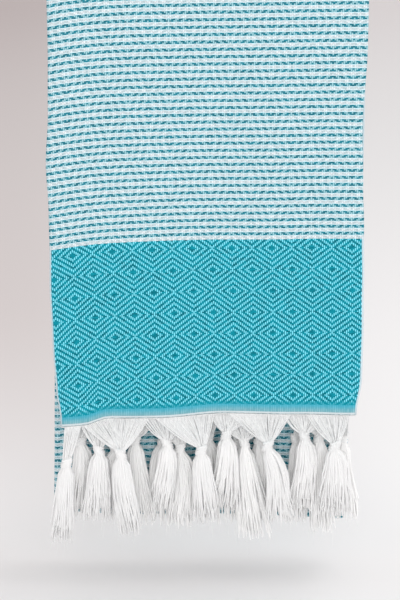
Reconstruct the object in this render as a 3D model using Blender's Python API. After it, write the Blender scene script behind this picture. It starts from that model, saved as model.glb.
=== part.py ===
"""A flat-woven hammam towel with knotted fringes, folded and hung.

The towel is one sheet. It is folded in four along its length, and the folded
stack is then doubled and hung: the first end hangs in front, the stack runs
over the top and down the back, turns up again inside, runs over the top once
more and ends inside the front. What carries it goes through the free passage
under the top fold. Metres, +Z up, the front facing -Y. The origin is on the
line that the cloth bears on, in the middle of its width.
"""
import math

import bmesh
import bpy

# The cloth and its lengthwise fold.
FOLDED_WIDTH = 0.250
SELVEDGE_X = 0.1225
SHEET = 0.0011
LAYER_STEP = 0.0018
LAYER_COUNT = 4
STACK = (LAYER_COUNT - 1) * LAYER_STEP + SHEET

# How the folded stack hangs.
CLOTH_LENGTH = 1.640
PASSAGE = 0.020
STACK_GAP = 0.0010
FRONT_DROP = 0.392
BACK_DROP = 0.496
INNER_RADIUS = PASSAGE / 2 + STACK / 2
OUTER_RADIUS = INNER_RADIUS + STACK + STACK_GAP
BOTTOM_RADIUS = (OUTER_RADIUS - INNER_RADIUS) / 2
AXIS_Z = -PASSAGE / 2
BOTTOM_Z = -BACK_DROP + BOTTOM_RADIUS + STACK / 2

# The front draws in at its sides towards the hem, the back hangs a little lower at
# its right and bends to the left as it goes down, and the whole towel sways.
BACK_TILT = 0.012
BACK_SHIFT = 0.0075
DRAW_LEFT = 0.0040
DRAW_RIGHT = 0.0025
DRAW_LENGTH = 0.190
SWAY = 0.0024
SWAY_WAVE = 0.195
SWAY_PHASE = 0.9
SWAY_HEIGHT = 0.45

# The strip that carries a fringe, parted from the hem.
STRIP_PART = 0.00032
STRIP_HEIGHT = 0.0025

# A tassel: its fan gathers into a knot, and its skirt of locks hangs from the knot.
GATHER_DOWN = 0.55
GATHER_BACK = 0.30
GATHER_NARROW = 0.70
GATHER_DEPTH = 0.0015
GATHER_ROUND = 0.3
NECK_BACK = 0.9
NECK_WIDTH = 0.0070
KNOT_WIDTH = 0.0110
KNOT_DEPTH = 0.0072
KNOT_HEIGHT = 0.0100
KNOT_RINGS = (
    # level, width and depth as shares of the knot, and whether a plain tassel has it
    (1.0, NECK_WIDTH / KNOT_WIDTH, 0.6, True),
    (0.35, 1.0, 1.0, False),
    (-0.35, 1.0, 1.0, True),
    (-1.0, 0.74, 0.7, True),
)
LOCK_COLUMNS = 3
LOCK_SPACING = 0.0072
LOCK_WIDTH = 0.0062
LOCK_SHARE = 0.41
LOCK_STAGGER = 0.26
LOCK_MIDDLE = 0.62
LOCK_UNEVEN = 0.05
TIP_SPREAD = 1.15
TIP_WIDTH = 0.0044
TIP_DEPTH = 0.0014
TIP_UNEVEN = 0.004

# How the locks' lengths vary with their column, their row and the knot's place.
UNEVEN_BY_COLUMN = 5.1
UNEVEN_BY_ROW = 2.3
UNEVEN_BY_X = 90.0

# Mesh steps, and the angle past which an edge is shaded sharp.
STRAIGHT_STEP = 0.070
FOLD_STEPS = 4
TOP_STEPS = 9
BOTTOM_STEPS = 6
SHARP_ANGLE = math.radians(50)

# The path's pieces from the front hem to the other, and their steps where they curve.
PATH_PIECES = (
    # piece, steps
    ("front", None),
    ("over", TOP_STEPS),
    ("back", None),
    ("turn", BOTTOM_STEPS),
    ("inside back", None),
    ("under", TOP_STEPS),
    ("inside front", None),
)

COTTON_WHITE = (0.80, 0.79, 0.78, 1.0)
CLOTH_TEAL = (0.34, 0.58, 0.65, 1.0)
COTTON_ROUGHNESS = 0.9

# The four layers in the order of the sheet, from one selvedge to the other. Level
# counts layer steps from the middle of the stack, with the front face positive.
LEFT, RIGHT = -1, 1
LAYERS = (
    # name, level, heading
    ("rear", -1.5, LEFT),
    ("face", 1.5, RIGHT),
    ("second", 0.5, LEFT),
    ("third", -0.5, RIGHT),
)
LEVEL = {name: level for name, level, _ in LAYERS}

# Places across the fold, and how far the front hem droops there on the two layers
# that meet in the wide outer fold at the left.
HEM_LINE = (
    # x, droop
    (-0.125, 0.0108),
    (-0.107, 0.0095),
    (-0.082, 0.0030),
    (-0.041, 0.0027),
    (0.014, 0.0),
    (0.070, 0.0),
    (0.125, 0.0),
)

# Tassels of the front hem. Each layer's knots hang in a row of their own depth, and
# drops are measured down from the hem's level.
ROW_Y = {"face": -0.0290, "second": -0.0204, "third": -0.0118, "rear": -0.0032}
FRONT_TASSELS = (
    # layer, fan left, fan right, knot x, knot drop, tip x, tip drop
    ("face", -0.1210, -0.1070, -0.1165, 0.0410, -0.1205, 0.1085),
    ("face", -0.1055, -0.0500, -0.0715, 0.0320, -0.0650, 0.1060),
    ("face", -0.0450, 0.0055, -0.0050, 0.0305, -0.0005, 0.0890),
    ("face", 0.0165, 0.0700, 0.0500, 0.0260, 0.0610, 0.0905),
    ("face", 0.0820, 0.1190, 0.1050, 0.0255, 0.1150, 0.0820),
    ("second", -0.1120, -0.0740, -0.0900, 0.0320, -0.0930, 0.0905),
    ("second", -0.0600, -0.0200, -0.0335, 0.0265, -0.0370, 0.0810),
    ("second", 0.0000, 0.0360, 0.0160, 0.0200, 0.0180, 0.0805),
    ("second", 0.0620, 0.1010, 0.0805, 0.0200, 0.0790, 0.0830),
    ("third", -0.0840, -0.0500, -0.0770, 0.0330, -0.0790, 0.0960),
    ("third", -0.0440, -0.0020, -0.0230, 0.0340, -0.0190, 0.1010),
    ("third", 0.0120, 0.0550, 0.0310, 0.0265, 0.0390, 0.1085),
    ("third", 0.0760, 0.1180, 0.0935, 0.0240, 0.0960, 0.1080),
    ("rear", -0.1150, -0.0900, -0.1090, 0.0300, -0.1100, 0.0970),
    ("rear", -0.0800, -0.0460, -0.0600, 0.0290, -0.0560, 0.1010),
    ("rear", -0.0440, -0.0200, -0.0320, 0.0290, -0.0300, 0.1020),
    ("rear", -0.0180, 0.0100, -0.0040, 0.0280, -0.0060, 0.1030),
    ("rear", 0.0120, 0.0340, 0.0220, 0.0290, 0.0200, 0.1010),
    ("rear", 0.0360, 0.0620, 0.0480, 0.0290, 0.0500, 0.1000),
    ("rear", 0.0740, 0.0920, 0.0750, 0.0290, 0.0770, 0.1010),
    ("rear", 0.0940, 0.1190, 0.1140, 0.0280, 0.1150, 0.0970),
)

# Tassels of the second hem hang out of sight, so each layer repeats one plain tassel.
INNER_ROW_Y = {"rear": -0.0118, "third": -0.0056, "second": 0.0002, "face": 0.0058}
INNER_ROWS = (
    # layer, tassels, first x
    ("rear", 5, -0.098),
    ("third", 4, -0.080),
    ("second", 4, -0.068),
    ("face", 5, -0.094),
)
INNER_PITCH = 0.048
INNER_FAN = 0.032
INNER_KNOT_DROP = 0.028
INNER_TIP_DROP = 0.092
INNER_KNOT_DEPTH = 0.0048


def clear_scene():
    """Remove whatever the opened scene holds."""
    for thing in list(bpy.data.objects):
        bpy.data.objects.remove(thing)


def cotton(name, colour):
    """Plain matt cotton of one colour."""
    made = bpy.data.materials.new(name)
    made.use_nodes = True
    shader = made.node_tree.nodes["Principled BSDF"]
    shader.inputs["Base Color"].default_value = colour
    shader.inputs["Roughness"].default_value = COTTON_ROUGHNESS
    shader.inputs["Metallic"].default_value = 0.0
    return made


def ease(value):
    """Smooth step from 0 to 1."""
    value = min(max(value, 0.0), 1.0)
    return value * value * (3 - 2 * value)


def mix(start, end, share):
    """The place at a share of the way from start to end."""
    return start + (end - start) * share


# The folded section, as stations (x, n, normal x, normal n, layer) across the sheet.


def run_ends(layer):
    """X of a layer's two ends: its folds, or the fold and the selvedge."""
    left = -FOLDED_WIDTH / 2 + 1.5 * LAYER_STEP + SHEET / 2
    right = FOLDED_WIDTH / 2 - 0.5 * LAYER_STEP - SHEET / 2
    if layer in ("rear", "third"):
        right = SELVEDGE_X
    return left, right


def run_stations(layer, heading, marks):
    """One layer's flat run, with stations at the hem line's places and the marks."""
    left, right = run_ends(layer)
    places = {x for x, _ in HEM_LINE if left < x < right} | {left, right} | set(marks)
    n = LEVEL[layer] * LAYER_STEP
    return [(x, n, 0.0, heading, layer) for x in sorted(places, reverse=heading == LEFT)]


def fold_stations(layer, next_layer, side):
    """The half circle that joins a layer to the next one at its left or right."""
    left, right = run_ends("face")
    centre_x = left if side == LEFT else right
    centre_n = (LEVEL[layer] + LEVEL[next_layer]) / 2 * LAYER_STEP
    radius = abs(LEVEL[layer] - LEVEL[next_layer]) / 2 * LAYER_STEP
    start = math.copysign(math.pi / 2, LEVEL[layer] - LEVEL[next_layer])
    # The sheet's front side is outside in its first two folds and inside in the last.
    facing = side * math.copysign(1, LEVEL[layer] - LEVEL[next_layer])
    stations = []
    for step in range(1, FOLD_STEPS):
        angle = start * (1 - 2 * step / FOLD_STEPS)
        out_x = side * math.cos(angle)
        out_n = math.sin(angle)
        stations.append((centre_x + radius * out_x, centre_n + radius * out_n,
                         facing * out_x, facing * out_n, layer))
    return stations


def section(marks):
    """Every station of the sheet, from its rear selvedge to its inner one."""
    stations = []
    for index, (layer, _, heading) in enumerate(LAYERS):
        stations += run_stations(layer, heading, marks.get(layer, ()))
        if index + 1 < len(LAYERS):
            stations += fold_stations(layer, LAYERS[index + 1][0], heading)
    return stations


# The path that the stack's middle follows, in the plane across the passage.


def piece_lengths():
    """Lengths of the path's pieces, in order from the front hem."""
    front = FRONT_DROP + AXIS_Z
    back = -BOTTOM_Z + AXIS_Z
    over = math.pi * OUTER_RADIUS
    turn = math.pi * BOTTOM_RADIUS
    under = math.pi * INNER_RADIUS
    last = CLOTH_LENGTH - (front + over + back + turn + back + under)
    return front, over, back, turn, back, under, last


def path(s):
    """Point (y, z) and outward normal (y, z) of the path at a length from the hem."""
    front, over, back, turn, _, under, _ = piece_lengths()
    middle_y = (INNER_RADIUS + OUTER_RADIUS) / 2
    if s < front:
        return -OUTER_RADIUS, AXIS_Z - front + s, -1.0, 0.0
    s -= front
    if s < over:
        angle = s / OUTER_RADIUS
        out_y, out_z = -math.cos(angle), math.sin(angle)
        return OUTER_RADIUS * out_y, AXIS_Z + OUTER_RADIUS * out_z, out_y, out_z
    s -= over
    if s < back:
        return OUTER_RADIUS, AXIS_Z - s, 1.0, 0.0
    s -= back
    if s < turn:
        angle = s / BOTTOM_RADIUS
        out_y, out_z = math.cos(angle), -math.sin(angle)
        return middle_y + BOTTOM_RADIUS * out_y, BOTTOM_Z + BOTTOM_RADIUS * out_z, out_y, out_z
    s -= turn
    if s < back:
        return INNER_RADIUS, BOTTOM_Z + s, -1.0, 0.0
    s -= back
    if s < under:
        angle = s / INNER_RADIUS
        out_y, out_z = math.cos(angle), math.sin(angle)
        return INNER_RADIUS * out_y, AXIS_Z + INNER_RADIUS * out_z, -out_y, -out_z
    s -= under
    return -INNER_RADIUS, AXIS_Z - s, 1.0, 0.0


def path_rows():
    """Path lengths of the cloth's cross rows between its two hems."""
    rows = []
    start = 0.0
    for (_, steps), length in zip(PATH_PIECES, piece_lengths()):
        steps = steps or max(1, round(length / STRAIGHT_STEP))
        rows += [start + length * step / steps for step in range(1, steps + 1)]
        start += length
    return rows[:-1]


def sway(x, z):
    """How far the hung towel stands off its plane, growing down from the top."""
    return SWAY * ease(-z / SWAY_HEIGHT) * math.sin(math.tau * x / SWAY_WAVE + SWAY_PHASE)


def place(s, x, n):
    """Where a point of the folded stack hangs, in space."""
    y, z, out_y, out_z = path(s)
    if y > 0 and z < AXIS_Z:
        below = AXIS_Z - z
        z = AXIS_Z - below * (1 + BACK_TILT * x / FOLDED_WIDTH)
        x -= BACK_SHIFT * (below / BACK_DROP) ** 2
    drawn = ease(1 - s / DRAW_LENGTH)
    from_left = 0.5 - x / FOLDED_WIDTH
    x += drawn * (DRAW_LEFT * from_left - DRAW_RIGHT * (1 - from_left))
    y += n * out_y
    z += n * out_z
    return x, y + sway(x, z), z


def hem_droop(layer, x):
    """How far below its level the front hem lies, read along the hem line."""
    if layer in ("second", "third"):
        return 0.0
    for (start_x, start), (end_x, end) in zip(HEM_LINE, HEM_LINE[1:]):
        if x <= end_x:
            return mix(start, end, max(0.0, (x - start_x) / (end_x - start_x)))
    return HEM_LINE[-1][1]


def front_hem(station):
    """Path length of the front hem at a station."""
    return -hem_droop(station[4], station[0])


def inner_hem(station):
    """Path length of the second hem, which is straight."""
    return CLOTH_LENGTH


def station_pair(bm, station, s):
    """The sheet's two surface points at a station."""
    x, n, normal_x, normal_n, _ = station
    half = SHEET / 2
    return [bm.verts.new(place(s, x + side * half * normal_x, n + side * half * normal_n))
            for side in (1, -1)]


def finish(bm, name, surface):
    """Turn a closed bmesh into a named object with its faces outward."""
    bmesh.ops.recalc_face_normals(bm, faces=bm.faces)
    mesh = bpy.data.meshes.new(name)
    bm.to_mesh(mesh)
    bm.free()
    mesh.shade_smooth()
    mesh.set_sharp_from_angle(angle=SHARP_ANGLE)
    mesh.materials.append(surface)
    made = bpy.data.objects.new(name, mesh)
    bpy.context.scene.collection.objects.link(made)
    return made


def ribbon(bm, rows, open_runs=()):
    """Skin a folded ribbon through rows of surface pairs, closed all round.

    Each row holds a pair for each station. The last row's edge faces are left out
    between the stations in open_runs, where fans grow from it.
    """
    last = len(rows[0]) - 1
    for upper, lower in zip(rows, rows[1:]):
        for index in range(last):
            for side in (0, 1):
                bm.faces.new((upper[index][side], upper[index + 1][side],
                              lower[index + 1][side], lower[index][side]))
        for end in (0, last):
            bm.faces.new((upper[end][0], upper[end][1], lower[end][1], lower[end][0]))
    for row in (rows[0], rows[-1]):
        for index in range(last):
            if row is rows[0] or index not in open_runs:
                bm.faces.new((row[index][0], row[index][1],
                              row[index + 1][1], row[index + 1][0]))


def woven_cloth():
    """The towel itself: one woven sheet, folded in four and hung doubled."""
    bm = bmesh.new()
    stations = section({})
    rows = [[station_pair(bm, station, front_hem(station)) for station in stations]]
    for s in path_rows():
        rows.append([station_pair(bm, station, s) for station in stations])
    rows.append([station_pair(bm, station, inner_hem(station)) for station in stations])
    ribbon(bm, rows)
    return finish(bm, "woven_cloth", cotton("woven_cotton", CLOTH_TEAL))


# Fringes. A tassel is skinned down through rings of ten points: four across its
# front, one at its right, four across its back and one at its left.
RING_X = (-1.0, -0.42, 0.42, 1.0)
RING_DEPTH = (0.45, 1.0, 1.0, 0.45)
RING_BULGE = 0.08


def tassel_ring(bm, centre, width, depth, roundness=1.0):
    """A ring of new points round a tassel's centre."""
    x, y, z = centre
    front = []
    back = []
    for across, share in zip(RING_X, RING_DEPTH):
        reach = depth / 2 * mix(1.0, share, roundness)
        front.append((x + across * width / 2, y - reach, z))
        back.append((x + across * width / 2, y + reach, z))
    side = width / 2 * (1 + RING_BULGE * roundness)
    points = front + [(x + side, y, z)] + back[::-1] + [(x - side, y, z)]
    return [bm.verts.new(point) for point in points]


def join_rings(bm, upper, lower):
    """Faces between two rings. The strip's ring has no points at its sides."""
    count = len(lower)
    for index in range(count):
        after = (index + 1) % count
        corners = (upper[index], upper[after], lower[after], lower[index])
        bm.faces.new([corner for corner in corners if corner])
        if not upper[index]:
            bm.faces.new((upper[index - 1], upper[after], lower[index]))


def grow_lock(bm, root, middle, tip):
    """One lock of a skirt: four corners at its root, middle and tip."""
    levels = [root]
    for (x, y, z), width, depth in (middle, tip):
        corners = ((-1, -1), (1, -1), (1, 1), (-1, 1))
        levels.append([bm.verts.new((x + i * width / 2, y + j * depth / 2, z))
                       for i, j in corners])
    for upper, lower in zip(levels, levels[1:]):
        for index in range(4):
            after = (index + 1) % 4
            bm.faces.new((upper[index], upper[after], lower[after], lower[index]))
    bm.faces.new(levels[-1])


def grow_skirt(bm, ring, centre, tip, depth):
    """Six locks, three in front of three, from the ring under the knot to the tip."""
    front = ring[0:4]
    back = ring[8:4:-1]
    inner = [bm.verts.new((front[i].co + back[i].co) / 2) for i in (1, 2)]
    middles = [ring[9]] + inner + [ring[4]]
    for column in range(LOCK_COLUMNS):
        for row, (near, far) in enumerate(((front, middles), (middles, back))):
            root = (near[column], near[column + 1], far[column + 1], far[column])
            uneven = math.sin(UNEVEN_BY_COLUMN * column + UNEVEN_BY_ROW * row
                              + UNEVEN_BY_X * centre[0])
            across = (column - 1) * LOCK_SPACING
            behind = (2 * row - 1) * LOCK_STAGGER * depth
            share = LOCK_MIDDLE + LOCK_UNEVEN * uneven
            middle = [mix(start, end, share) for start, end in zip(centre, tip)]
            middle = (middle[0] + across, middle[1] + behind, middle[2])
            end = (tip[0] + TIP_SPREAD * across, tip[1] + behind,
                   tip[2] + TIP_UNEVEN * (1 + uneven))
            grow_lock(bm, root, (middle, LOCK_WIDTH, LOCK_SHARE * depth),
                      (end, TIP_WIDTH, TIP_DEPTH))


def grow_tassel(bm, edge, knot, tip, depth, fine):
    """A fan drawn in from the strip's edge to a knot, with a skirt of locks below it."""
    tops = [vert.co for vert in edge if vert]
    top_x, top_y, top_z = (sum(point[axis] for point in tops) / len(tops) for axis in range(3))
    top_width = max(point.x for point in tops) - min(point.x for point in tops)
    x, y, z = knot
    half = KNOT_HEIGHT / 2
    # Each ring is (centre, width, depth, roundness), from the fan down.
    rings = [((x, y, z + level * half), wide * KNOT_WIDTH, deep * depth, 1.0)
             for level, wide, deep, plain_too in KNOT_RINGS if fine or plain_too]
    rings[0] = ((x, mix(top_y, y, NECK_BACK), z + half), *rings[0][1:])
    if fine:
        gather = (mix(top_x, x, GATHER_DOWN), mix(top_y, y, GATHER_BACK),
                  mix(top_z, z + half, GATHER_DOWN))
        width = mix(top_width, NECK_WIDTH, GATHER_NARROW)
        rings.insert(0, (gather, width, GATHER_DEPTH, GATHER_ROUND))
    upper = edge
    for centre, width, ring_depth, roundness in rings:
        lower = tassel_ring(bm, centre, width, ring_depth, roundness)
        join_rings(bm, upper, lower)
        upper = lower
    grow_skirt(bm, upper, rings[-1][0], tip, depth)


def fan_marks(left, right):
    """The four stations of a fan: its ends, and two between that keep to the hem line."""
    marks = [left] + [x for x, _ in HEM_LINE if left < x < right] + [right]
    while len(marks) < 4:
        gaps = [after - before for before, after in zip(marks, marks[1:])]
        widest = gaps.index(max(gaps))
        marks.insert(widest + 1, mix(marks[widest], marks[widest + 1], 0.5))
    return marks


def fan_edge(stations, row, layer, marks):
    """A fan's place on the strip's lower edge: its ring of points and station runs."""
    found = [index for index, station in enumerate(stations)
             if station[4] == layer and station[2] == 0 and station[0] in marks]
    sides = [sorted(row[index], key=lambda vert: vert.co.y) for index in found]
    sides.sort(key=lambda pair: pair[0].co.x)
    front = [pair[0] for pair in sides]
    back = [pair[1] for pair in sides]
    return front + [None] + back[::-1] + [None], set(sorted(found)[:-1])


def fringe(name, tassels, hem, downward, depth, fine):
    """One hem's strip and tassels, as one body.

    A tassel is (layer, fan left, fan right, knot, tip). Downward is the path's
    direction below the hem: -1 at the front hem and 1 at the second one.
    """
    marks = {}
    for layer, left, right, _, _ in tassels:
        marks.setdefault(layer, []).extend(fan_marks(left, right))
    stations = section(marks)
    bm = bmesh.new()
    rows = []
    for below in (STRIP_PART, STRIP_PART + STRIP_HEIGHT):
        rows.append([station_pair(bm, station, hem(station) + downward * below)
                     for station in stations])
    edges = []
    open_runs = set()
    for layer, left, right, knot, tip in tassels:
        ring, runs = fan_edge(stations, rows[-1], layer, fan_marks(left, right))
        edges.append((ring, knot, tip))
        open_runs |= runs
    ribbon(bm, rows, open_runs)
    for ring, knot, tip in edges:
        grow_tassel(bm, ring, knot, tip, depth, fine)
    return finish(bm, name, cotton(name + "_yarn", COTTON_WHITE))


def hung(x, row_y, z):
    """A point of a tassel, swayed with the cloth above it."""
    return x, row_y + sway(x, z), z


def front_fringe():
    """The knotted warp ends of the hem that shows."""
    tassels = []
    for layer, left, right, knot_x, knot_drop, tip_x, tip_drop in FRONT_TASSELS:
        row_y = ROW_Y[layer]
        knot = hung(knot_x, row_y, -FRONT_DROP - knot_drop)
        tip = hung(tip_x, row_y, -FRONT_DROP - tip_drop)
        tassels.append((layer, left, right, knot, tip))
    return fringe("front_fringe", tassels, front_hem, -1, KNOT_DEPTH, True)


def inner_fringe():
    """The fringe of the second hem, hidden between the front and the back."""
    hem_z = path(CLOTH_LENGTH)[1]
    tassels = []
    for layer, count, first_x in INNER_ROWS:
        for index in range(count):
            x = first_x + index * INNER_PITCH
            knot = hung(x, INNER_ROW_Y[layer], hem_z - INNER_KNOT_DROP)
            tip = hung(x, INNER_ROW_Y[layer], hem_z - INNER_TIP_DROP)
            tassels.append((layer, x - INNER_FAN / 2, x + INNER_FAN / 2, knot, tip))
    return fringe("inner_fringe", tassels, inner_hem, 1, INNER_KNOT_DEPTH, False)


clear_scene()
woven_cloth()
front_fringe()
inner_fringe()
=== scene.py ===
import math
import random

import bmesh
import bpy
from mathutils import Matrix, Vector


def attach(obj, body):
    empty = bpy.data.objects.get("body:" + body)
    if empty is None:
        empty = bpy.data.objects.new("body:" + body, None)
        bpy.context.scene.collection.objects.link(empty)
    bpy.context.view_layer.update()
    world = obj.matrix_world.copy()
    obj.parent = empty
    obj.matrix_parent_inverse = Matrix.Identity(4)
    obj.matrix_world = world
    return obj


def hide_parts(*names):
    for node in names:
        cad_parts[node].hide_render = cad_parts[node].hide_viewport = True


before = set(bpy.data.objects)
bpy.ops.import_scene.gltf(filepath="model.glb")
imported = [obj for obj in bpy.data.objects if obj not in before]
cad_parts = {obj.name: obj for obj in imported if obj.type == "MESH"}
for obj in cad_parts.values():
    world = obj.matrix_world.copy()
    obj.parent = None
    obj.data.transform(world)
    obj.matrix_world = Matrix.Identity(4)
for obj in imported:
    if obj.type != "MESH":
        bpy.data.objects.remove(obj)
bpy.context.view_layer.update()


# The camera. Its lens is long, and it stands a metre and a quarter in front of the towel
# and a little above it, looking down by fourteen degrees.
VIEW_DOWN = math.radians(14)
VIEW_DISTANCE = 1.275
VIEW_AIM = Vector((-0.0061, -0.0240, -0.2951))
SENSOR = 36.0
FOCAL_IN_FRAME_HEIGHTS = 2.623
NEAREST_SEEN = 0.05

camera = bpy.data.objects.new("camera", bpy.data.cameras.new("camera"))
camera.data.sensor_width = SENSOR
camera.data.lens = FOCAL_IN_FRAME_HEIGHTS * SENSOR
camera.data.clip_start = NEAREST_SEEN
camera.location = VIEW_AIM + VIEW_DISTANCE * Vector((0, -math.cos(VIEW_DOWN), math.sin(VIEW_DOWN)))
camera.rotation_euler = (math.pi / 2 - VIEW_DOWN, 0, 0)
bpy.context.scene.collection.objects.link(camera)
bpy.context.scene.camera = camera


# The studio. A wide pale floor runs out of sight behind the towel, a pale room lights
# it from all round, and soft boxes stand in front and above to the right. The floor is
# paper with painted shade: darker and warmer towards the left, and a little darker far
# back and in front.
FLOOR_Z = -0.540
FLOOR_RADIUS = 16.0
FLOOR_SIDES = 96
ROOM_COLOUR = (1, 0.99, 0.985, 1)
ROOM_LIGHT = 0.88
SOFT_BOXES = (
    # name, place, size, watts
    ("front_box", (0.15, -2.6, 0.35), 1.6, 31.0),
    ("overhead_box", (1.0, 0.10, 1.3), 1.1, 7.8),
)
PALE_PAPER = (0.85, 0.838, 0.843, 1)
LEFT_PAINTED_SHADE = (0.655, 0.60, 0.595, 1)
FAR_PAINTED_SHADE = (0.90, 0.86, 0.86, 1)
FAR_LEFT_PAINTED_SHADE = (0.90, 0.89, 0.89, 1)
NEAR_PAINTED_SHADE = (0.95, 0.95, 0.95, 1)
PAPER_ROUGHNESS = 0.8
SWEEP_POINT = -1.24
SHORTEST_DEPTH = 0.4
# Each pair says where a painted shade of the floor is full and where it is gone: by the
# lean to the side, or by the depth behind the point from which the sweep fans out.
LEFT_LEAN = (-0.15, 0.13)
LEFT_DEPTH = (2.2, 0.9)
FAR_DEPTH = (9.5, 2.6)
NEAR_DEPTH = (1.15, 1.55)


def calc(tree, operation, *values):
    """A Math node's result. Each value is a socket or a number."""
    node = tree.nodes.new("ShaderNodeMath")
    node.operation = operation
    for socket, value in zip(node.inputs, values):
        if isinstance(value, bpy.types.NodeSocket):
            tree.links.new(value, socket)
        else:
            socket.default_value = value
    return node.outputs[0]


def fade(tree, value, full_at, gone_at):
    """A mask: 1 at full_at and past it, 0 at gone_at and past it, and smooth between."""
    node = tree.nodes.new("ShaderNodeMapRange")
    node.interpolation_type = "SMOOTHSTEP"
    tree.links.new(value, node.inputs["Value"])
    node.inputs["From Min"].default_value = full_at
    node.inputs["From Max"].default_value = gone_at
    node.inputs["To Min"].default_value = 1
    node.inputs["To Max"].default_value = 0
    return node.outputs["Result"]


def blend(tree, factor, first, second, kind="MIX"):
    """A Mix node's colour. The colours are sockets or values."""
    node = tree.nodes.new("ShaderNodeMix")
    node.data_type = "RGBA"
    node.blend_type = kind
    for name, value in (("Factor_Float", factor), ("A_Color", first), ("B_Color", second)):
        socket = next(s for s in node.inputs if s.identifier == name)
        if isinstance(value, bpy.types.NodeSocket):
            tree.links.new(value, socket)
        else:
            socket.default_value = value
    return next(s for s in node.outputs if s.identifier == "Result_Color")


def new_material(name):
    """A named material, its node tree and its shader."""
    made = bpy.data.materials.new(name)
    made.use_nodes = True
    return made, made.node_tree, made.node_tree.nodes["Principled BSDF"]


def object_from(bm, name, material):
    """Turn a bmesh into a named object in the scene."""
    mesh = bpy.data.meshes.new(name)
    bm.to_mesh(mesh)
    bm.free()
    mesh.materials.append(material)
    made = bpy.data.objects.new(name, mesh)
    bpy.context.scene.collection.objects.link(made)
    return made


bm = bmesh.new()
bmesh.ops.create_circle(bm, cap_ends=True, radius=FLOOR_RADIUS, segments=FLOOR_SIDES)
bmesh.ops.translate(bm, verts=bm.verts, vec=(0, 0, FLOOR_Z))
floor_paint, tree, shader = new_material("floor_paint")
floor_place = tree.nodes.new("ShaderNodeTexCoord")
floor_spot = tree.nodes.new("ShaderNodeSeparateXYZ")
tree.links.new(floor_place.outputs["Object"], floor_spot.inputs["Vector"])
depth = calc(tree, "SUBTRACT", floor_spot.outputs["Y"], SWEEP_POINT)
lean = calc(tree, "DIVIDE", floor_spot.outputs["X"], calc(tree, "MAXIMUM", depth, SHORTEST_DEPTH))
# Painted shade: the paper is made darker and warmer towards the left, and darker far back and near the
# front.
left_shade_mask = calc(tree, "MULTIPLY", fade(tree, lean, *LEFT_LEAN), fade(tree, depth, *LEFT_DEPTH))
far_shade_mask = fade(tree, depth, *FAR_DEPTH)
far_left_shade_mask = calc(tree, "MULTIPLY", far_shade_mask, left_shade_mask)
paper = blend(tree, left_shade_mask, PALE_PAPER, LEFT_PAINTED_SHADE)
paper = blend(tree, far_shade_mask, paper, FAR_PAINTED_SHADE, "MULTIPLY")
paper = blend(tree, far_left_shade_mask, paper, FAR_LEFT_PAINTED_SHADE, "MULTIPLY")
paper = blend(tree, fade(tree, depth, *NEAR_DEPTH), paper, NEAR_PAINTED_SHADE, "MULTIPLY")
tree.links.new(paper, shader.inputs["Base Color"])
shader.inputs["Roughness"].default_value = PAPER_ROUGHNESS
floor = object_from(bm, "floor", floor_paint)

room = bpy.data.worlds.new("room")
room.use_nodes = True
room.node_tree.nodes["Background"].inputs["Color"].default_value = ROOM_COLOUR
room.node_tree.nodes["Background"].inputs["Strength"].default_value = ROOM_LIGHT
bpy.context.scene.world = room
bpy.context.scene.view_settings.view_transform = "Standard"

for name, spot, size, watts in SOFT_BOXES:
    lamp = bpy.data.lights.new(name, "AREA")
    lamp.size = size
    lamp.energy = watts
    box = bpy.data.objects.new(name, lamp)
    box.location = spot
    box.rotation_euler = (VIEW_AIM - Vector(spot)).to_track_quat("-Z", "Y").to_euler()
    bpy.context.scene.collection.objects.link(box)


# The woven cloth. One flat-woven sheet of cotton, a metre wide and 1.64 m long between
# its hems, folded in four along its length and hung doubled over its top fold. Its warp
# is white; its weft is white and teal, and all teal in a band of diamonds by each hem.
FOLDED_WIDTH = 0.250
SELVEDGE_X = 0.1225
SHEET = 0.0011
CLOTH_THICKNESS = 0.0008
LAYER_STEP = 0.0018
WIDE_FOLD = 1.5 * LAYER_STEP
NARROW_FOLD = 0.5 * LAYER_STEP
STACK = 3 * LAYER_STEP + SHEET
CLOTH_LENGTH = 1.640
PASSAGE = 0.020
STACK_GAP = 0.0010
FRONT_DROP = 0.392
BACK_DROP = 0.496
INNER_RADIUS = PASSAGE / 2 + STACK / 2
OUTER_RADIUS = INNER_RADIUS + STACK + STACK_GAP
BOTTOM_RADIUS = (OUTER_RADIUS - INNER_RADIUS) / 2
AXIS_Z = -PASSAGE / 2
BOTTOM_Z = -BACK_DROP + BOTTOM_RADIUS + STACK / 2
BACK_TILT = 0.012
BACK_SHIFT = 0.0075
DRAW_LEFT = 0.0040
DRAW_RIGHT = 0.0025
DRAW_LENGTH = 0.190
EDGE_FROM = 0.02
EDGE_REACH = 0.09
EDGE_GROWS = 0.05
SWAY = 0.0024
SWAY_WAVE = 0.195
SWAY_PHASE = 0.9
SWAY_HEIGHT = 0.45

LEFT, RIGHT = -1, 1
LAYERS = (
    # name, level in layer steps from the middle of the stack, heading of the sheet
    ("rear", -1.5, LEFT),
    ("face", 1.5, RIGHT),
    ("second", 0.5, LEFT),
    ("third", -0.5, RIGHT),
)
LEVEL = {name: level for name, level, _ in LAYERS}
HEADING = {name: heading for name, _, heading in LAYERS}
RUN_STEPS = 36
FOLD_STEPS = 6
PATH_STEPS = (50, 14, 44, 8, 30, 10, 16)
HEM_LINE = (
    # x, droop of the front hem on the two layers of the wide outer fold
    (-0.125, 0.0108),
    (-0.107, 0.0095),
    (-0.082, 0.0030),
    (-0.041, 0.0027),
    (0.014, 0.0),
    (0.125, 0.0),
)
HEM_PULL = 0.060
PICK_DROOP = 0.0092
PICK_DROOP_LOW = 0.0042
PICK_DROOP_WIDTH = 0.044
PICK_LOW = 0.110
RISE_PULL = 0.030
PICK_RISE_AT = (-0.115, -0.03, 0.02, 0.11)
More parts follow.
